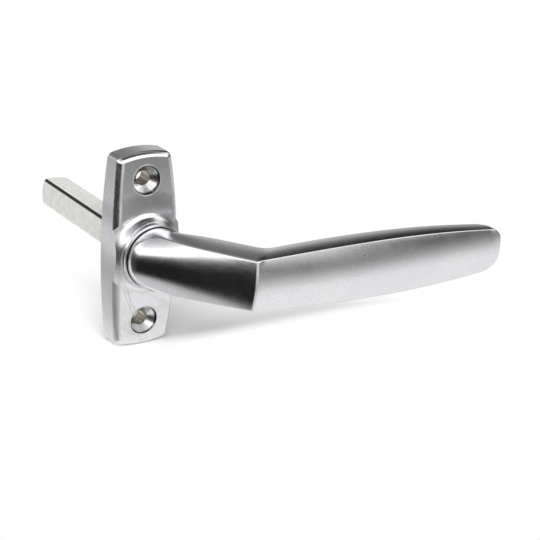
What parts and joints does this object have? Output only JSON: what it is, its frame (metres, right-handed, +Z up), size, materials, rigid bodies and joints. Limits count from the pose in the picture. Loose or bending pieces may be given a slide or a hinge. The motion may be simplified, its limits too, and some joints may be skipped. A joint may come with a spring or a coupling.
{
  "type": "window handle",
  "caption": "Cranked lever window handle with a flat tapering grip on a slim bowed escutcheon plate with a flared collar, screw holes and a long square spindle.",
  "frame": {"origin": "on the lever's turning axis at the wall face of the plate", "axes": "+Z up along the plate, +Y into the window along the spindle, -Y into the room, the lever points towards +X"},
  "size_m": [0.1198, 0.0951, 0.059],
  "materials": {
    "bright_metal": "satin",
    "spindle_steel": "satin",
    "spring_steel": "satin",
    "washer_steel": "satin",
    "bush_plastic": "matte"
  },
  "bodies": {
    "plate": {"escutcheon_plate": "bright_metal", "bearing_bush": "bush_plastic", "spring_washer": "spring_steel"},
    "lever": {"handle_lever": "bright_metal", "spindle": "spindle_steel", "cross_pin": "spring_steel", "thrust_washer": "washer_steel", "snap_ring": "spring_steel"}
  },
  "joints": [
    {"name": "lever_turn", "type": "hinge", "parent": "plate", "child": "lever", "pos_m": [0, 0, 0], "axis": [0, 1, 0], "continuous": true}
  ]
}
